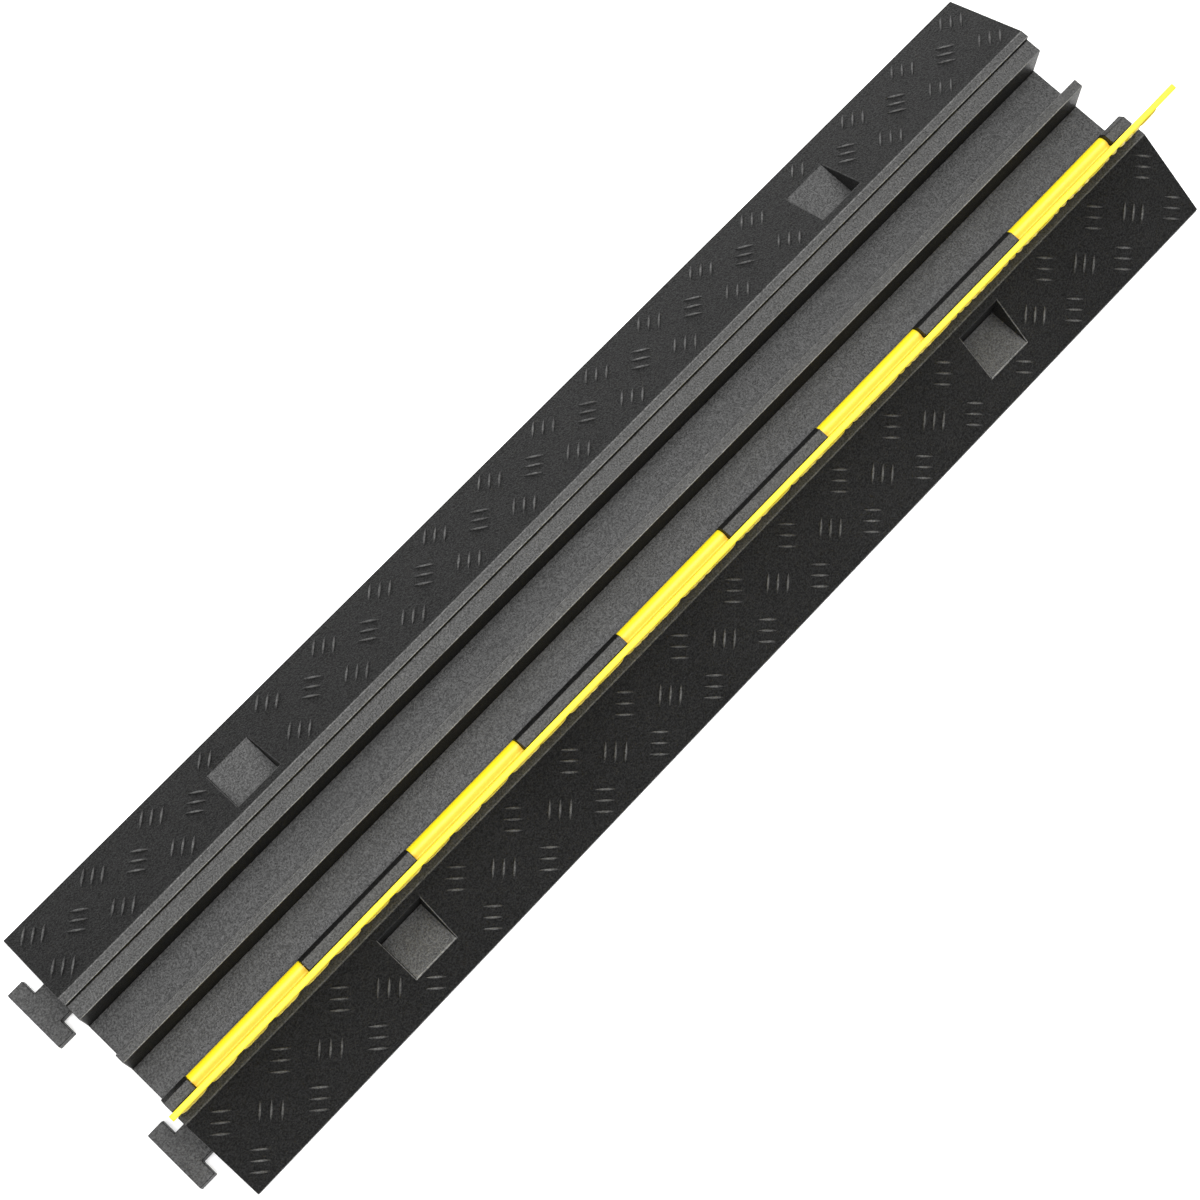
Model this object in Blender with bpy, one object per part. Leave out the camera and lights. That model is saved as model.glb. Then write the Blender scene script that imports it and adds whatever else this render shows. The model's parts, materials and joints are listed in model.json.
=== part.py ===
"""Floor cord cover: a two channel rubber ramp with a hinged lid that stands open, in metres with +Z up."""

import math

import bmesh
import bpy

MM = 0.001

# Overall body, which runs along X with its middle at the origin
BODY_LENGTH = 1000.0 * MM
HALF_WIDTH = 125.0 * MM
EDGE_HEIGHT = 3.5 * MM
LAND_HEIGHT = 41.0 * MM
LAND_OUTER = 61.0 * MM
LAND_INNER = 54.1 * MM

# Ledge and middle wall, which carry the closed lid
LEDGE_HEIGHT = 36.2 * MM
LEDGE_INNER = 40.9 * MM
MIDDLE_TOP_LEFT = 6.7 * MM
MIDDLE_TOP_RIGHT = -1.2 * MM

# The two channels
FLOOR_HEIGHT = 4.8 * MM
FIRST_FLOOR_LEFT = 39.6 * MM
FIRST_FLOOR_RIGHT = 9.9 * MM
SECOND_FLOOR_LEFT = -3.1 * MM
SECOND_FLOOR_RIGHT = -32.8 * MM

# Hinge row of the base
AXIS_Y = -42.4 * MM
AXIS_Z = 31.1 * MM
KNUCKLE_WALL_TOP = -36.8 * MM
KNUCKLE_WALL_HEIGHT = 36.5 * MM
KNUCKLE_TOP_LEFT = -40.4 * MM
KNUCKLE_TOP_RIGHT = -48.9 * MM
SLOT_BOTTOM = 24.5 * MM
CHANNEL_SIDE = -30.0 * MM
ABOVE_BODY = 60.0 * MM

# Knuckles of the lid and the rod through all of them
KNUCKLE_COUNT = 5
KNUCKLE_PITCH = 212.0 * MM
KNUCKLE_LENGTH = 106.8 * MM
KNUCKLE_END_GAP = 0.4 * MM
BARREL_RADIUS = 5.6 * MM
ROD_RADIUS = 2.0 * MM
BORE_RADIUS = 2.3 * MM
ROUND_SEGMENTS = 32

# Lid plate, measured from the hinge axis with the lid closed
LID_LENGTH = 999.0 * MM
LID_UNDERSIDE = 5.4 * MM
LID_TOP = 9.9 * MM
LID_REACH = 95.9 * MM
LID_EDGE_CHAMFER = 0.6 * MM
LID_ROOT_RADIUS = 12.2 * MM
LID_OPEN_DEGREES = 98.0
TAIL_DEGREES = 120.0
FILLET_START_DEGREES = 35.0
FILLET_REACH = 9.5 * MM
KNUCKLE_OVERLAP = 16.0 * MM

# Four pockets with flat floors in the slopes
POCKET_INNER_X = 283.5 * MM
POCKET_LENGTH = 39.7 * MM
POCKET_FLOOR = 16.5 * MM
POCKET_WALL_Y = 68.1 * MM
POCKET_DRAFT = 0.04
POCKET_OUTER_Y = 110.0 * MM

# T shaped tabs at one end and the matching slots below the other end
TAB_CENTRE_Y = 68.7 * MM
TAB_HEIGHT = 8.5 * MM
TAB_DRAFT = 0.7 * MM
NECK_WIDTH = 26.6 * MM
NECK_LENGTH = 10.2 * MM
HEAD_WIDTH = 51.0 * MM
HEAD_LENGTH = 13.6 * MM
TAB_ROOT = 4.0 * MM
SOCKET_CLEARANCE = 0.5 * MM
SOCKET_HEIGHT = 9.5 * MM
OVERCUT = 5.0 * MM

RUBBER_COLOUR = (0.085, 0.085, 0.083, 1.0)
LID_COLOUR = (1.0, 0.86, 0.0, 1.0)
STEEL_COLOUR = (0.45, 0.45, 0.46, 1.0)


def clear_scene():
    for obj in list(bpy.data.objects):
        bpy.data.objects.remove(obj, do_unlink=True)


def add_object(name, points, faces):
    """A mesh object from points and faces, with every face turned outward."""
    mesh = bpy.data.meshes.new(name)
    mesh.from_pydata(points, [], faces)
    work = bmesh.new()
    work.from_mesh(mesh)
    bmesh.ops.recalc_face_normals(work, faces=work.faces)
    work.to_mesh(mesh)
    work.free()
    obj = bpy.data.objects.new(name, mesh)
    bpy.context.scene.collection.objects.link(obj)
    return obj


def prism(name, profile, start, end):
    """A closed prism along X over a profile of (y, z) points."""
    count = len(profile)
    points = [(x, y, z) for x in (start, end) for y, z in profile]
    faces = [tuple(range(count)), tuple(range(count, 2 * count))]
    for i in range(count):
        j = (i + 1) % count
        faces.append((i, j, count + j, count + i))
    return add_object(name, points, faces)


def frustum(name, lower, upper, bottom, top):
    """A closed solid between two outlines of (x, y) points that have the same count."""
    count = len(lower)
    points = [(x, y, bottom) for x, y in lower] + [(x, y, top) for x, y in upper]
    faces = [tuple(range(count)), tuple(range(count, 2 * count))]
    for i in range(count):
        j = (i + 1) % count
        faces.append((i, j, count + j, count + i))
    return add_object(name, points, faces)


def as_cutter(obj):
    obj.hide_render = True
    obj.display_type = "WIRE"
    return obj


def combine(target, other, operation):
    """Adds the other solid to the target, or cuts it away, and removes the other."""
    modifier = target.modifiers.new(operation.lower(), "BOOLEAN")
    modifier.operation = operation
    modifier.solver = "EXACT"
    modifier.object = other
    bpy.context.view_layer.objects.active = target
    bpy.ops.object.modifier_apply(modifier=modifier.name)
    bpy.data.objects.remove(other, do_unlink=True)


def arc(radius, start, end, steps):
    """Points (y, z) on a circle about the hinge axis, with angles in degrees."""
    points = []
    for i in range(steps + 1):
        angle = math.radians(start + (end - start) * i / steps)
        points.append((radius * math.cos(angle), radius * math.sin(angle)))
    return points


def knuckle_centres():
    middle = (KNUCKLE_COUNT - 1) / 2
    return [(i - middle) * KNUCKLE_PITCH for i in range(KNUCKLE_COUNT)]


def base_profile():
    """The section with the full hinge row, from the left outer edge over the top to the right one."""
    return [
        (HALF_WIDTH, 0.0),
        (HALF_WIDTH, EDGE_HEIGHT),
        (LAND_OUTER, LAND_HEIGHT),
        (LAND_INNER, LAND_HEIGHT),
        (LAND_INNER, LEDGE_HEIGHT),
        (LEDGE_INNER, LEDGE_HEIGHT),
        (FIRST_FLOOR_LEFT, FLOOR_HEIGHT),
        (FIRST_FLOOR_RIGHT, FLOOR_HEIGHT),
        (MIDDLE_TOP_LEFT, LEDGE_HEIGHT),
        (MIDDLE_TOP_RIGHT, LEDGE_HEIGHT),
        (SECOND_FLOOR_LEFT, FLOOR_HEIGHT),
        (SECOND_FLOOR_RIGHT, FLOOR_HEIGHT),
        (KNUCKLE_WALL_TOP, KNUCKLE_WALL_HEIGHT),
        (KNUCKLE_TOP_LEFT, LAND_HEIGHT),
        (KNUCKLE_TOP_RIGHT, LAND_HEIGHT),
        (KNUCKLE_TOP_RIGHT, SLOT_BOTTOM),
        (-LAND_INNER, SLOT_BOTTOM),
        (-LAND_INNER, LAND_HEIGHT),
        (-LAND_OUTER, LAND_HEIGHT),
        (-HALF_WIDTH, EDGE_HEIGHT),
        (-HALF_WIDTH, 0.0),
    ]


def bore_cutter(length):
    profile = [(y + AXIS_Y, z + AXIS_Z) for y, z in arc(BORE_RADIUS, 0.0, 360.0, ROUND_SEGMENTS)[:-1]]
    return as_cutter(prism("bore_cutter", profile, -length / 2, length / 2))


def cut_hinge_openings(base):
    """Room for each lid knuckle in the hinge row, open towards the second channel."""
    half = KNUCKLE_LENGTH / 2 + KNUCKLE_END_GAP
    profile = [
        (CHANNEL_SIDE, SLOT_BOTTOM),
        (CHANNEL_SIDE, ABOVE_BODY),
        (-LAND_INNER, ABOVE_BODY),
        (-LAND_INNER, SLOT_BOTTOM),
    ]
    for centre in knuckle_centres():
        cutter = as_cutter(prism("hinge_cutter", profile, centre - half, centre + half))
        combine(base, cutter, "DIFFERENCE")


def cut_pockets(base):
    """Pockets that end in nothing at the outer side, where their floor meets the slope."""
    spread = POCKET_DRAFT * (ABOVE_BODY - POCKET_FLOOR)
    near = POCKET_INNER_X
    far = POCKET_INNER_X + POCKET_LENGTH
    for end in (-1, 1):
        for side in (-1, 1):
            lower = [
                (end * near, side * POCKET_WALL_Y),
                (end * far, side * POCKET_WALL_Y),
                (end * far, side * POCKET_OUTER_Y),
                (end * near, side * POCKET_OUTER_Y),
            ]
            upper = [
                (end * (near - spread), side * (POCKET_WALL_Y - spread)),
                (end * (far + spread), side * (POCKET_WALL_Y - spread)),
                (end * (far + spread), side * POCKET_OUTER_Y),
                (end * (near - spread), side * POCKET_OUTER_Y),
            ]
            cutter = as_cutter(frustum("pocket_cutter", lower, upper, POCKET_FLOOR, ABOVE_BODY))
            combine(base, cutter, "DIFFERENCE")


def tee_outline(start, neck_length, neck_width, head_length, head_width, centre, direction):
    """A T seen from above: the neck leaves start in the given direction along X and ends in the head."""
    neck_end = start + direction * neck_length
    head_end = neck_end + direction * head_length
    return [
        (start, centre - neck_width / 2),
        (neck_end, centre - neck_width / 2),
        (neck_end, centre - head_width / 2),
        (head_end, centre - head_width / 2),
        (head_end, centre + head_width / 2),
        (neck_end, centre + head_width / 2),
        (neck_end, centre + neck_width / 2),
        (start, centre + neck_width / 2),
    ]


def add_tabs(base):
    """Tabs that stand out at floor level from the near end, a little wider at the foot than on top."""
    root = TAB_ROOT - BODY_LENGTH / 2
    for side in (-1, 1):
        centre = side * TAB_CENTRE_Y
        upper = tee_outline(root, NECK_LENGTH + TAB_ROOT, NECK_WIDTH, HEAD_LENGTH, HEAD_WIDTH, centre, -1)
        lower = tee_outline(
            root,
            NECK_LENGTH + TAB_ROOT - TAB_DRAFT,
            NECK_WIDTH + 2 * TAB_DRAFT,
            HEAD_LENGTH + TAB_DRAFT,
            HEAD_WIDTH + 2 * TAB_DRAFT,
            centre,
            -1,
        )
        combine(base, frustum("tab", lower, upper, 0.0, TAB_HEIGHT), "UNION")


def cut_sockets(base):
    """Slots open at the far end and below, which take the tabs of the next length."""
    end = BODY_LENGTH / 2
    growth = SOCKET_CLEARANCE + TAB_DRAFT
    for side in (-1, 1):
        outline = tee_outline(
            end + OVERCUT,
            NECK_LENGTH - growth + OVERCUT,
            NECK_WIDTH + 2 * growth,
            HEAD_LENGTH + growth + SOCKET_CLEARANCE,
            HEAD_WIDTH + 2 * growth,
            side * TAB_CENTRE_Y,
            -1,
        )
        cutter = as_cutter(frustum("socket_cutter", outline, outline, -OVERCUT, SOCKET_HEIGHT))
        combine(base, cutter, "DIFFERENCE")


def smooth_rounds(obj):
    """Smooth shading on round faces, with an angle that keeps the real edges sharp."""
    obj.data.shade_smooth()
    obj.data.set_sharp_from_angle(angle=math.radians(30.0))


def make_base():
    base = prism("base", base_profile(), -BODY_LENGTH / 2, BODY_LENGTH / 2)
    cut_hinge_openings(base)
    cut_pockets(base)
    add_tabs(base)
    cut_sockets(base)
    combine(base, bore_cutter(BODY_LENGTH + 2 * OVERCUT), "DIFFERENCE")
    smooth_rounds(base)
    return base


def plate_profile():
    """The lid plate, with its root cut round the hinge axis so that it swings clear of the base knuckles."""
    low = math.degrees(math.asin(LID_UNDERSIDE / LID_ROOT_RADIUS))
    high = math.degrees(math.asin(LID_TOP / LID_ROOT_RADIUS))
    root = arc(LID_ROOT_RADIUS, high, low, 6)
    return root + [
        (LID_REACH - LID_EDGE_CHAMFER, LID_UNDERSIDE),
        (LID_REACH, LID_UNDERSIDE + LID_EDGE_CHAMFER),
        (LID_REACH, LID_TOP - LID_EDGE_CHAMFER),
        (LID_REACH - LID_EDGE_CHAMFER, LID_TOP),
    ]


def fillet_points(steps):
    """A curve from the barrel to the underside of the plate."""
    start = math.radians(FILLET_START_DEGREES)
    p0 = (BARREL_RADIUS * math.cos(start), BARREL_RADIUS * math.sin(start))
    p2 = (FILLET_REACH, LID_UNDERSIDE)
    run = (p2[1] - p0[1]) / math.cos(start)
    p1 = (p0[0] - run * math.sin(start), p2[1])
    points = []
    for i in range(1, steps + 1):
        t = i / steps
        y = (1 - t) ** 2 * p0[0] + 2 * t * (1 - t) * p1[0] + t * t * p2[0]
        z = (1 - t) ** 2 * p0[1] + 2 * t * (1 - t) * p1[1] + t * t * p2[1]
        points.append((y, z))
    return points


def knuckle_profile():
    """A lid knuckle: the barrel, the tail over it, and a fillet that runs into the plate."""
    tail = arc(LID_TOP, 90.0, TAIL_DEGREES, 4)
    barrel = arc(BARREL_RADIUS, 180.0, 360.0 + FILLET_START_DEGREES, 22)
    return tail + barrel + fillet_points(6) + [(KNUCKLE_OVERLAP, LID_UNDERSIDE), (KNUCKLE_OVERLAP, LID_TOP)]


def make_lid():
    """The lid, built closed about its hinge axis and then turned to where it leans when open."""
    lid = prism("lid", plate_profile(), -LID_LENGTH / 2, LID_LENGTH / 2)
    for centre in knuckle_centres():
        start = centre - KNUCKLE_LENGTH / 2
        end = centre + KNUCKLE_LENGTH / 2
        combine(lid, prism("knuckle", knuckle_profile(), start, end), "UNION")
    cutter = bore_cutter(LID_LENGTH + 2 * OVERCUT)
    for vertex in cutter.data.vertices:
        vertex.co.y -= AXIS_Y
        vertex.co.z -= AXIS_Z
    combine(lid, cutter, "DIFFERENCE")
    smooth_rounds(lid)
    lid.location = (0.0, AXIS_Y, AXIS_Z)
    lid.rotation_euler = (math.radians(LID_OPEN_DEGREES), 0.0, 0.0)
    return lid


def make_rod():
    """The rod through every knuckle, flush with the lid at both ends."""
    profile = arc(ROD_RADIUS, 0.0, 360.0, ROUND_SEGMENTS)[:-1]
    rod = prism("hinge_rod", profile, -LID_LENGTH / 2, LID_LENGTH / 2)
    smooth_rounds(rod)
    rod.location = (0.0, AXIS_Y, AXIS_Z)
    return rod


def make_material(name, colour, roughness, metallic):
    material = bpy.data.materials.new(name)
    material.use_nodes = True
    shader = material.node_tree.nodes["Principled BSDF"]
    shader.inputs["Base Color"].default_value = colour
    shader.inputs["Roughness"].default_value = roughness
    shader.inputs["Metallic"].default_value = metallic
    return material


def rubber_material():
    return make_material("rubber", RUBBER_COLOUR, 0.7, 0.0)


def lid_material():
    return make_material("yellow_plastic", LID_COLOUR, 0.45, 0.0)


def steel_material():
    return make_material("steel", STEEL_COLOUR, 0.35, 1.0)


def main():
    clear_scene()
    make_base().data.materials.append(rubber_material())
    make_lid().data.materials.append(lid_material())
    make_rod().data.materials.append(steel_material())


main()
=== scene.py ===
"""Floor cord cover in a white studio: a black rubber ramp with raised tread and an open yellow hinged lid."""

import json
import math

import bmesh
import bpy
from mathutils import Euler, Matrix, Vector

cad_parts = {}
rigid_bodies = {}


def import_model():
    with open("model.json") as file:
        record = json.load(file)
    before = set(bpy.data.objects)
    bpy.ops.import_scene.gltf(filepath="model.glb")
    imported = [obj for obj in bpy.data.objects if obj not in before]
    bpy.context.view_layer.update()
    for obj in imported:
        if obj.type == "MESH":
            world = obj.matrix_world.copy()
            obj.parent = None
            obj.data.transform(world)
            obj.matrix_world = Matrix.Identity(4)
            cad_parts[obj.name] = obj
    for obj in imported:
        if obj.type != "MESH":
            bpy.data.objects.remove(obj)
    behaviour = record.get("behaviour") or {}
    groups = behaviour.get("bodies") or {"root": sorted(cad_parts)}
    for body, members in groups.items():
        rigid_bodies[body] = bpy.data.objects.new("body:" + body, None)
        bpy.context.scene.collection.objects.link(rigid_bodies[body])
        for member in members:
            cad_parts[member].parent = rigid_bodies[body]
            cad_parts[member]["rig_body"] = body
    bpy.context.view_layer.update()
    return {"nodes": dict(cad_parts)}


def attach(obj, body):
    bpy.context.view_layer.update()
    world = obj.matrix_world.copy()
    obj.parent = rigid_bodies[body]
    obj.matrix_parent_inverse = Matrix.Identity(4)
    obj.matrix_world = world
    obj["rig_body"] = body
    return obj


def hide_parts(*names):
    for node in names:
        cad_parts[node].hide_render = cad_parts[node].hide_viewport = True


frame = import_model()

MM = 0.001

# Faces of the ramp that carry tread
HALF_WIDTH = 125.0 * MM
EDGE_HEIGHT = 3.5 * MM
LAND_OUTER = 61.0 * MM
LAND_HEIGHT = 41.0 * MM

# Channels: both floors lie between the ledge walls and repeat across the ramp
CHANNEL_FLOOR = 4.8 * MM
LEDGE_INNER = 40.9 * MM
FLOOR_RIGHT = -32.8 * MM
FLOOR_PERIOD_TOP = 9.9 * MM

# Pockets in the slopes
POCKET_NEAR = 283.5 * MM
POCKET_FAR = 323.2 * MM
POCKET_INNER_Y = 67.2 * MM
POCKET_MIDDLE_Y = 85.0 * MM
POCKET_OUTER_Y = 102.8 * MM
POCKET_MARGIN = 0.9 * MM

# Hinge and lid
AXIS_Y = -42.4 * MM
AXIS_Z = 31.1 * MM
LID_OPEN = math.radians(98.0)
LID_FACE = 9.9 * MM
BORE_REACH = 3.0 * MM
HINGE_ROW_LEFT = -36.0 * MM
HINGE_ROW_RIGHT = -50.0 * MM

# Edges: radius and segments of their rounding, and the bends that count as flat and as corners
RAMP_ROUNDING = (0.6 * MM, 3)
LID_ROUNDING = (0.35 * MM, 2)
MERGE_DISTANCE = 0.001 * MM
FLAT_ANGLE = math.radians(0.5)
CORNER_ANGLE = math.radians(20)

# Pale rub with painted highlight, from 0 to 1, on outside corners above this height. The hinge row and the +Y
# rim of each pocket have none
RUB_AND_HIGHLIGHT_ABOVE = 12.0 * MM
WALL_RUB_AND_HIGHLIGHT = 0.65
EDGE_RUB_AND_HIGHLIGHT = 0.3
RIGHT_RIM_RUB_AND_HIGHLIGHT = 0.5
LEFT_RIM_RUB_AND_HIGHLIGHT = 0.12
RIB_RUB_AND_HIGHLIGHT = 0.38
CREASE_SHADE = 0.5

# Tread: groups of three short ribs, each group turned against the next row's
RIB_PITCH = 8.0 * MM
RIB_LENGTH = 15.6 * MM
RIB_WIDTH = 2.3 * MM
RIB_HEIGHT = 1.1 * MM
LID_RIB_HEIGHT = 1.35 * MM
RIB_FOOT = 0.25 * MM
RIB_TURN = math.radians(43.5)
RIB_STEPS = 10
RIB_SIDES = 6
RIB_SWELL = 0.6
RIB_TIP = 0.08
RIB_CREASE_ANGLE = math.radians(60)
GROUP_PITCH = 56.8 * MM
GROUPS_EACH_WAY = 9
TREAD_END = 496.0 * MM

# Rows of groups: distance from the middle or from the hinge axis, shift in pitches, turn
SLOPE_ROWS = ((76.0 * MM, 0.5, 1), (93.8 * MM, 0.0, -1), (111.0 * MM, 0.5, 1))
LID_ROWS = ((29.5 * MM, 0.5, 1), (47.2 * MM, 0.0, -1), (64.9 * MM, 0.5, 1), (82.6 * MM, 0.0, -1))

# Rubber colours
SLOPE_DARK = (0.0045, 0.0045, 0.0045, 1)
SLOPE_LIGHT = (0.0075, 0.0075, 0.0074, 1)
# Upright faces: painted lighter than the slopes
UPRIGHT_PAINTED_LIGHT = (0.017, 0.017, 0.0167, 1)
# Level faces: painted light of the overhead lamp, with patchy tone
LEVEL_PAINTED_LIGHT_LOW = (0.020, 0.020, 0.0198, 1)
LEVEL_PAINTED_LIGHT_HIGH = (0.030, 0.030, 0.0296, 1)
SHADED_FLOOR = (0.017, 0.017, 0.0168, 1)
# Edge roundings and rib crests: rubbed pale, partly painted highlight
RUBBED_PALE_AND_HIGHLIGHT = (0.24, 0.24, 0.235, 1)
# Concave edges: painted shade
CREASE_PAINTED_SHADE = (0.003, 0.003, 0.003, 1)

# Lid, hinge rod and floor colours
YELLOW_DARK = (0.775, 0.605, 0.006, 1)
YELLOW_LIGHT = (0.795, 0.625, 0.008, 1)
# Feet of the lid's ribs: painted amber shade
RIB_FOOT_PAINTED_SHADE = (0.55, 0.33, 0.004, 1)
# Hollows of the lid: painted amber shade
HOLLOW_PAINTED_SHADE = (0.77, 0.475, 0.07, 1)
STEEL_DARK = (0.40, 0.40, 0.41, 1)
STEEL_LIGHT = (0.56, 0.56, 0.57, 1)
FLOOR_DARK = (0.94, 0.94, 0.94, 1)
FLOOR_LIGHT = (0.96, 0.96, 0.96, 1)
WHITE = (1, 1, 1, 1)

# Scales of the surface noise, in waves per metre
LEATHER_BEND_SCALE = 260.0
LEATHER_SCALE = 780.0
RUBBER_FINE_SCALE = 1500.0
RUBBER_BROAD_SCALE = 9.0
RUBBER_PATCH_SCALE = 70.0
YELLOW_FINE_SCALE = 1100.0
YELLOW_BROAD_SCALE = 14.0
STEEL_LINE_SCALES = (30.0, 2200.0, 2200.0)
FLOOR_SCALE = 3.0

# Depths of the surface grain, and how far the painted amber shade of the lid's hollows reaches
LEATHER_BEND = 2.2 * MM
LEATHER_DEPTH = 0.4 * MM
YELLOW_DEPTH = 0.2 * MM
HOLLOW_REACH = 20.0 * MM

# Lights
KEY_LIGHT_PLACE = (0.25, 0.1, 2.1)
KEY_LIGHT_TARGET = (0.25, 0.1, 0.0)
SIDE_LIGHT_PLACE = (1.3, 2.6, 1.0)
SIDE_LIGHT_TARGET = (0.4, 0.0, 0.0)

# Camera, from the straight edges in the photograph
CAMERA_PLACE = (-0.4185, -0.2959, 1.7901)
CAMERA_TURN = (14.9209, -1.6404, -46.7875)
CAMERA_LENS = 76.851
CAMERA_SENSOR = 36.0
CAMERA_CLIP_END = 50.0


def rounded_copy(node, name, radius, segments):
    """A copy of a CAD solid with its flat faces made whole and its edges rounded."""
    work = bmesh.new()
    work.from_mesh(frame["nodes"][node].data)
    bmesh.ops.remove_doubles(work, verts=work.verts, dist=MERGE_DISTANCE)
    bmesh.ops.dissolve_limit(work, angle_limit=FLAT_ANGLE, verts=work.verts, edges=work.edges)
    # Bevel faces: pale rub with painted highlight on outside corners, painted shade in creases
    worn_and_highlight = work.faces.layers.float.new("worn_and_highlight")
    crease = work.faces.layers.float.new("crease")
    edges = [edge for edge in work.edges if is_corner(edge)]
    marks = []
    for edge in edges:
        start, end = (vert.co.copy() for vert in edge.verts)
        marks.append((start, end, rubbing_and_highlight(edge), 0.0 if edge.is_convex else CREASE_SHADE))
    made = bmesh.ops.bevel(
        work, geom=edges, offset=radius, segments=segments, profile=0.5, affect="EDGES", clamp_overlap=True
    )
    for face in made["faces"]:
        face[worn_and_highlight], face[crease] = nearest_edge_marks(face.calc_center_median(), marks)
    obj = new_object(name, work)
    weighted = obj.modifiers.new("flat_faces_stay_flat", "WEIGHTED_NORMAL")
    weighted.mode = "FACE_AREA"
    weighted.weight = 100
    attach(obj, frame["nodes"][node]["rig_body"])
    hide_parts(node)
    return obj


def new_object(name, work):
    """A smooth shaded object from a bmesh, which is freed."""
    mesh = bpy.data.meshes.new(name)
    work.to_mesh(mesh)
    work.free()
    mesh.shade_smooth()
    return link_object(name, mesh)


def link_object(name, data):
    obj = bpy.data.objects.new(name, data)
    bpy.context.scene.collection.objects.link(obj)
    return obj


def is_corner(edge):
    """Whether an edge is a sharp corner that is rounded. The bore round the hinge rod stays sharp."""
    if len(edge.link_faces) != 2 or edge.calc_face_angle(0.0) < CORNER_ANGLE:
        return False
    return any(math.hypot(vert.co.y - AXIS_Y, vert.co.z - AXIS_Z) > BORE_REACH for vert in edge.verts)


def rubbing_and_highlight(edge):
    """How far the rounding of an edge is rubbed pale and painted with highlight, most above the walls that
    face the hinge.
    """
    start, end = (vert.co for vert in edge.verts)
    middle = (start + end) / 2
    if not edge.is_convex or middle.z < RUB_AND_HIGHLIGHT_ABOVE or abs(middle.x) > TREAD_END:
        return 0.0
    along = abs(end.x - start.x) > 0.9 * edge.calc_length()
    if hits_pocket(middle.x, middle.y, MM, MM):
        if along and middle.y > math.copysign(POCKET_MIDDLE_Y, middle.y):
            return 0.0
        return RIGHT_RIM_RUB_AND_HIGHLIGHT if middle.y < 0 else LEFT_RIM_RUB_AND_HIGHLIGHT
    if not along or HINGE_ROW_RIGHT < middle.y < HINGE_ROW_LEFT:
        return 0.0
    return WALL_RUB_AND_HIGHLIGHT if any(face.normal.y < -0.9 for face in edge.link_faces) else EDGE_RUB_AND_HIGHLIGHT


def nearest_edge_marks(point, marks):
    """The pale rub with painted highlight, and the painted crease shade, of the sharp edge nearest to a
    point.
    """
    nearest, found = math.inf, (0.0, 0.0)
    for start, end, worn_and_highlight, crease in marks:
        run = end - start
        share = max(0.0, min(1.0, (point - start).dot(run) / max(run.length_squared, 1e-12)))
        gap = (start + run * share - point).length_squared
        if gap < nearest:
            nearest, found = gap, (worn_and_highlight, crease)
    return found


def rib(work, middle, along, across, normal, rise):
    """One tread rib: a closed low lens with a round back and pointed ends."""
    rows = []
    worn_and_highlight, foot = work.verts.layers.float["worn_and_highlight"], work.verts.layers.float["foot"]
    for i in range(RIB_STEPS + 1):
        t = -1.0 + 2.0 * i / RIB_STEPS
        swell = (1.0 - t * t) ** RIB_SWELL
        row = []
        for j in range(RIB_SIDES + 1):
            angle = (-1.0 + 2.0 * j / RIB_SIDES) * math.pi / 2
            side = RIB_WIDTH / 2 * max(swell, RIB_TIP) * math.sin(angle)
            up = rise * swell * math.cos(angle) - RIB_FOOT * (j in (0, RIB_SIDES))
            vert = work.verts.new(middle + along * (t * RIB_LENGTH / 2) + across * side + normal * up)
            share = max(0.0, min(1.0, up / rise))
            # Crest rubbed pale with painted highlight; the foot takes painted shade on the lid
            vert[worn_and_highlight] = RIB_RUB_AND_HIGHLIGHT * share**3
            vert[foot] = (1.0 - share) ** 2
            row.append(vert)
        rows.append(row)
    for a, b in zip(rows, rows[1:]):
        for j in range(RIB_SIDES):
            work.faces.new((a[j], b[j], b[j + 1], a[j + 1]))
    work.faces.new([row[0] for row in rows] + [row[-1] for row in reversed(rows)])
    work.faces.new(rows[0])
    work.faces.new(list(reversed(rows[-1])))


def hits_pocket(x, y, reach_x, reach_y):
    """Whether a box round a point, with these half sizes, comes into one of the four pockets or its rim."""
    x, y = abs(x), abs(y)
    inside_x = POCKET_NEAR - POCKET_MARGIN < x + reach_x and x - reach_x < POCKET_FAR + POCKET_MARGIN
    inside_y = POCKET_INNER_Y - POCKET_MARGIN < y + reach_y and y - reach_y < POCKET_OUTER_Y
    return inside_x and inside_y


def tread(name, body, rows, place, down, normal, rise, skip_pockets):
    """Rows of rib groups on a flat face. place(x, d) gives a point of it, and d grows along down."""
    work = bmesh.new()
    for layer in ("worn_and_highlight", "foot"):
        work.verts.layers.float.new(layer)
    for distance, shift, turn in rows:
        along = (Vector((math.cos(RIB_TURN), 0, 0)) + down * (turn * math.sin(RIB_TURN))).normalized()
        across = normal.cross(along).normalized()
        reach = along * (RIB_LENGTH / 2)
        for k in range(-GROUPS_EACH_WAY, GROUPS_EACH_WAY + 1):
            x = (k + shift) * GROUP_PITCH
            if abs(x) > TREAD_END:
                continue
            for n in (-1, 0, 1):
                middle = place(x, distance) + across * (n * RIB_PITCH)
                if abs(middle.x) + abs(reach.x) > TREAD_END:
                    continue
                if skip_pockets and hits_pocket(middle.x, middle.y, abs(reach.x), abs(reach.y)):
                    continue
                rib(work, middle, along, across, normal, rise)
    bmesh.ops.recalc_face_normals(work, faces=work.faces)
    obj = new_object(name, work)
    obj.data.set_sharp_from_angle(angle=RIB_CREASE_ANGLE)
    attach(obj, body)
    return obj


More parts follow.
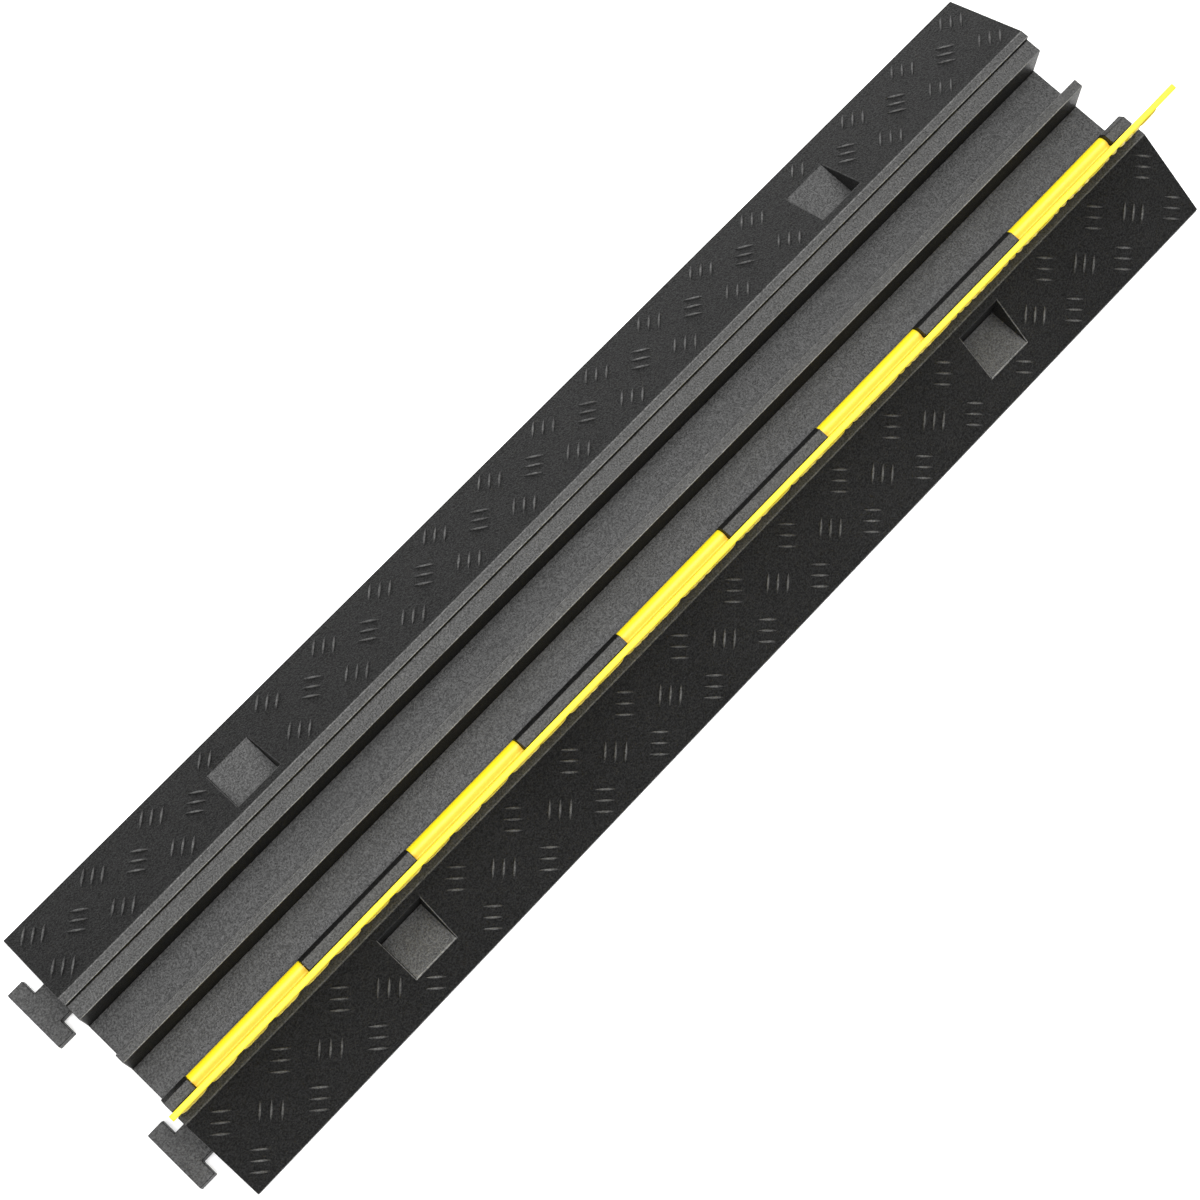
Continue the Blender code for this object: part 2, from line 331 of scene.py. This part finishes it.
def slope_tread(side, name):
    """Tread on the slope at +Y (side 1) or at -Y (side -1)."""
    slope = Vector((0, side * (HALF_WIDTH - LAND_OUTER), EDGE_HEIGHT - LAND_HEIGHT)).normalized()
    normal = Vector((0, side * (LAND_HEIGHT - EDGE_HEIGHT), HALF_WIDTH - LAND_OUTER)).normalized()

    def place(x, distance):
        share = (HALF_WIDTH - distance) / (HALF_WIDTH - LAND_OUTER)
        return Vector((x, side * distance, EDGE_HEIGHT + share * (LAND_HEIGHT - EDGE_HEIGHT)))

    return tread(name, "base", SLOPE_ROWS, place, slope, normal, RIB_HEIGHT, True)


def lid_tread():
    """Tread on the lid's outer face, which is its top when it is closed."""
    turn = Matrix.Rotation(LID_OPEN, 3, "X")
    outward = turn @ Vector((0, 1, 0))
    normal = turn @ Vector((0, 0, 1))

    def place(x, distance):
        return Vector((x, AXIS_Y, AXIS_Z)) + outward * distance + normal * LID_FACE

    return tread("lid_tread", "lid", LID_ROWS, place, outward, normal, LID_RIB_HEIGHT, False)


def new_material(name):
    material = bpy.data.materials.new(name)
    material.use_nodes = True
    tree = material.node_tree
    return material, tree, tree.nodes["Principled BSDF"]


def add_node(tree, kind, settings=(), inputs=()):
    """A shader node with its settings, and with its inputs linked to sockets or set to values."""
    node = tree.nodes.new(kind)
    for key, value in dict(settings).items():
        setattr(node, key, value)
    for key, value in dict(inputs).items():
        if isinstance(value, bpy.types.NodeSocket):
            tree.links.new(value, node.inputs[key])
        else:
            node.inputs[key].default_value = value
    return node


def object_coords(tree):
    return add_node(tree, "ShaderNodeTexCoord").outputs["Object"]


def attribute(tree, name):
    return add_node(tree, "ShaderNodeAttribute", {"attribute_name": name}).outputs["Fac"]


def noise(tree, coords, scale, detail, roughness):
    inputs = {"Vector": coords, "Scale": scale, "Detail": detail, "Roughness": roughness}
    return add_node(tree, "ShaderNodeTexNoise", {}, inputs).outputs["Fac"]


def remap(tree, value, low, high, to_low, to_high):
    return add_node(
        tree,
        "ShaderNodeMapRange",
        {"interpolation_type": "SMOOTHSTEP"},
        {"Value": value, "From Min": low, "From Max": high, "To Min": to_low, "To Max": to_high},
    ).outputs["Result"]


def blend_colours(tree, factor, first, second, mode="MIX"):
    settings = {"data_type": "RGBA", "blend_type": mode}
    return add_node(tree, "ShaderNodeMix", settings, {0: factor, 6: first, 7: second}).outputs[2]


def combine_values(tree, operation, first, second):
    return add_node(tree, "ShaderNodeMath", {"operation": operation}, {0: first, 1: second}).outputs[0]


def multiply(tree, first, second):
    return combine_values(tree, "MULTIPLY", first, second)


def bump_normal(tree, strength, distance, height):
    inputs = {"Strength": strength, "Distance": distance, "Height": height}
    return add_node(tree, "ShaderNodeBump", {}, inputs).outputs[0]


def floor_shade(tree, coords):
    """How far a channel floor is shaded: most beside the wall that faces the hinge, 0 off the floors."""
    spot = add_node(tree, "ShaderNodeSeparateXYZ", {}, {0: coords})
    low = remap(tree, spot.outputs["Z"], CHANNEL_FLOOR + 2 * MM, CHANNEL_FLOOR + 9 * MM, 1.0, 0.0)
    sideways = combine_values(tree, "ABSOLUTE", spot.outputs["Y"], 0.0)
    between = remap(tree, sideways, LEDGE_INNER, LEDGE_INNER + MM, 1.0, 0.0)
    limits = {0: spot.outputs["Y"], 1: FLOOR_PERIOD_TOP, 2: FLOOR_RIGHT}
    across = add_node(tree, "ShaderNodeMath", {"operation": "WRAP"}, limits).outputs[0]
    shade = remap(tree, across, FLOOR_RIGHT + 3 * MM, FLOOR_RIGHT + 19 * MM, 0.35, 1.0)
    return multiply(tree, multiply(tree, low, between), shade)


def rubber_material():
    """Black rubber with a leathery grain; level faces painted light, channel floors and creases painted
    shade, and edges rubbed pale with painted highlight.
    """
    material, tree, shader = new_material("rubber_grained")
    coords = object_coords(tree)
    bend_inputs = {"Vector": coords, "Scale": LEATHER_BEND_SCALE, "Detail": 2.0}
    bend = add_node(tree, "ShaderNodeTexNoise", {}, bend_inputs).outputs["Color"]
    bent_inputs = {0: bend, 1: (LEATHER_BEND,) * 3, 2: coords}
    bent = add_node(tree, "ShaderNodeVectorMath", {"operation": "MULTIPLY_ADD"}, bent_inputs).outputs[0]
    leather = noise(tree, bent, LEATHER_SCALE, 2.0, 0.6)
    fine = noise(tree, coords, RUBBER_FINE_SCALE, 3.0, 0.6)
    broad = noise(tree, coords, RUBBER_BROAD_SCALE, 4.0, 0.55)
    patch = noise(tree, coords, RUBBER_PATCH_SCALE, 3.0, 0.5)
    grain = combine_values(tree, "ADD", leather, multiply(tree, fine, 0.3))

    # How level the surface is, from the height of its normal
    normal = add_node(tree, "ShaderNodeNewGeometry").outputs["Normal"]
    height = add_node(tree, "ShaderNodeSeparateXYZ", {}, {0: normal}).outputs["Z"]
    level = remap(tree, height, 0.93, 0.99, 0.0, 1.0)
    upright = remap(tree, height, 0.05, 0.5, 1.0, 0.0)
    upper = remap(tree, height, 0.0, 0.35, 0.0, 1.0)

    # Slopes are dark and walls painted lighter; level faces painted light, channel floors painted shade,
    # edges rubbed pale with painted highlight, and creases painted shade
    trough = floor_shade(tree, coords)
    dark = blend_colours(tree, broad, SLOPE_DARK, SLOPE_LIGHT)
    # Walls painted lighter than the slopes
    dark = blend_colours(tree, upright, dark, UPRIGHT_PAINTED_LIGHT)
    # Level faces painted light, with patchy tone
    painted_level_light = blend_colours(tree, patch, LEVEL_PAINTED_LIGHT_LOW, LEVEL_PAINTED_LIGHT_HIGH)
    painted_level_light = blend_colours(tree, trough, painted_level_light, SHADED_FLOOR)
    colour = blend_colours(tree, level, dark, painted_level_light)
    patchy = remap(tree, patch, 0.3, 0.65, 0.65, 1.0)
    # Pale rub with painted highlight on edge roundings and rib crests, only where they face up
    rub_and_highlight = multiply(tree, attribute(tree, "worn_and_highlight"), multiply(tree, upper, patchy))
    colour = blend_colours(tree, rub_and_highlight, colour, RUBBED_PALE_AND_HIGHLIGHT)
    # Creases painted shade
    crease = attribute(tree, "crease")
    colour = blend_colours(tree, crease, colour, CREASE_PAINTED_SHADE)
    speck = remap(tree, grain, 0.4, 0.9, 0.55, 1.45)
    tint = add_node(tree, "ShaderNodeCombineColor", {}, {0: speck, 1: speck, 2: speck}).outputs[0]
    tree.links.new(blend_colours(tree, 1.0, colour, tint, "MULTIPLY"), shader.inputs["Base Color"])

    fine_rough = remap(tree, fine, 0.3, 0.7, 0.38, 0.46)
    broad_rough = remap(tree, broad, 0.3, 0.7, -0.02, 0.02)
    tree.links.new(combine_values(tree, "ADD", fine_rough, broad_rough), shader.inputs["Roughness"])

    # Less gloss in creases, on walls and on channel floors, which adds to the painted shade of creases and
    # floors. Where the link is dropped, the value stands in
    sheen = remap(tree, trough, 0.0, 1.0, 0.35, 0.30)
    open_sheen = multiply(tree, combine_values(tree, "SUBTRACT", 1.0, crease), sheen)
    dulled = multiply(tree, open_sheen, remap(tree, upright, 0.0, 1.0, 1.0, 0.4))
    shader.inputs["Specular IOR Level"].default_value = 0.3
    tree.links.new(multiply(tree, speck, dulled), shader.inputs["Specular IOR Level"])
    tree.links.new(bump_normal(tree, 1.0, LEATHER_DEPTH, grain), shader.inputs["Normal"])
    return material


def yellow_material():
    """Bright yellow moulded plastic with a fine satin grain, with amber painted shade in hollows and at the
    feet of ribs.
    """
    material, tree, shader = new_material("yellow_satin")
    coords = object_coords(tree)
    fine = noise(tree, coords, YELLOW_FINE_SCALE, 3.0, 0.6)
    broad = noise(tree, coords, YELLOW_BROAD_SCALE, 3.0, 0.5)
    colour = blend_colours(tree, broad, YELLOW_DARK, YELLOW_LIGHT)
    # Painted amber shade at the feet of the ribs
    colour = blend_colours(tree, multiply(tree, attribute(tree, "foot"), 0.6), colour, RIB_FOOT_PAINTED_SHADE)
    settings = {"only_local": True, "samples": 6}
    # Painted amber shade in the lid's hollows, from ambient occlusion
    openness = add_node(tree, "ShaderNodeAmbientOcclusion", settings, {"Distance": HOLLOW_REACH})
    painted_hollow_shade = remap(tree, openness.outputs["AO"], 0.5, 0.98, 0.8, 0.0)
    tree.links.new(blend_colours(tree, painted_hollow_shade, colour, HOLLOW_PAINTED_SHADE), shader.inputs["Base Color"])
    shader.inputs["Specular IOR Level"].default_value = 0.48
    tree.links.new(remap(tree, fine, 0.3, 0.7, 0.38, 0.5), shader.inputs["Roughness"])
    tree.links.new(bump_normal(tree, 0.18, YELLOW_DEPTH, fine), shader.inputs["Normal"])
    return material


def steel_material():
    """Drawn steel with fine lines round the rod."""
    material, tree, shader = new_material("steel_drawn")
    stretch_inputs = {0: object_coords(tree), 3: STEEL_LINE_SCALES}
    stretched = add_node(tree, "ShaderNodeMapping", {}, stretch_inputs).outputs[0]
    lines = noise(tree, stretched, 1.0, 3.0, 0.6)
    tree.links.new(blend_colours(tree, lines, STEEL_DARK, STEEL_LIGHT), shader.inputs["Base Color"])
    shader.inputs["Metallic"].default_value = 1.0
    tree.links.new(remap(tree, lines, 0.3, 0.7, 0.28, 0.44), shader.inputs["Roughness"])
    return material


def floor_material():
    """Matt white studio floor."""
    material, tree, shader = new_material("studio_floor")
    soft = noise(tree, object_coords(tree), FLOOR_SCALE, 2.0, 0.5)
    tree.links.new(blend_colours(tree, soft, FLOOR_DARK, FLOOR_LIGHT), shader.inputs["Base Color"])
    shader.inputs["Roughness"].default_value = 0.9
    shader.inputs["Emission Color"].default_value = WHITE
    shader.inputs["Emission Strength"].default_value = 0.25
    return material


def dress(obj, material):
    obj.data.materials.clear()
    obj.data.materials.append(material)


def make_floor():
    work = bmesh.new()
    bmesh.ops.create_grid(work, x_segments=8, y_segments=8, size=6.0)
    mesh = bpy.data.meshes.new("studio_floor")
    work.to_mesh(mesh)
    work.free()
    floor = link_object("studio_floor", mesh)
    dress(floor, floor_material())


def area_light(name, place, target, width, depth, power):
    """A rectangular light that faces a target point and isn't seen itself."""
    light = bpy.data.lights.new(name, "AREA")
    light.shape = "RECTANGLE"
    light.size = width
    light.size_y = depth
    light.energy = power
    obj = link_object(name, light)
    obj.location = place
    back = Vector(place) - Vector(target)
    obj.rotation_euler = back.to_track_quat("Z", "Y").to_euler()
    obj.visible_camera = False
    return obj


def make_lights():
    """A wide key light overhead with its long side along X, a weak side light, and a faint white world."""
    key = area_light("key_light", KEY_LIGHT_PLACE, KEY_LIGHT_TARGET, width=3.9, depth=1.42, power=120.0)
    key.rotation_euler = (0.0, 0.0, 0.0)
    area_light("side_light", SIDE_LIGHT_PLACE, SIDE_LIGHT_TARGET, width=2.0, depth=0.7, power=7.0)
    world = bpy.data.worlds.new("studio")
    world.use_nodes = True
    background = world.node_tree.nodes["Background"]
    background.inputs["Color"].default_value = WHITE
    background.inputs["Strength"].default_value = 0.13
    bpy.context.scene.world = world


def make_camera():
    camera = bpy.data.cameras.new("camera")
    camera.sensor_fit = "HORIZONTAL"
    camera.sensor_width = CAMERA_SENSOR
    camera.lens = CAMERA_LENS
    camera.clip_end = CAMERA_CLIP_END
    obj = link_object("camera", camera)
    obj.location = CAMERA_PLACE
    obj.rotation_euler = Euler([math.radians(a) for a in CAMERA_TURN], "XYZ")
    bpy.context.scene.camera = obj


make_camera()
make_floor()
make_lights()
bpy.context.scene.view_settings.view_transform = "Standard"

rubber = rubber_material()
yellow = yellow_material()
base = rounded_copy("base", "ramp", *RAMP_ROUNDING)
lid = rounded_copy("lid", "hinged_lid", *LID_ROUNDING)
dress(base, rubber)
dress(lid, yellow)
for side, name in ((1, "left_tread"), (-1, "right_tread")):
    ribs = slope_tread(side, name)
    dress(ribs, rubber)
lid_ribs = lid_tread()
dress(lid_ribs, yellow)
dress(frame["nodes"]["hinge_rod"], steel_material())
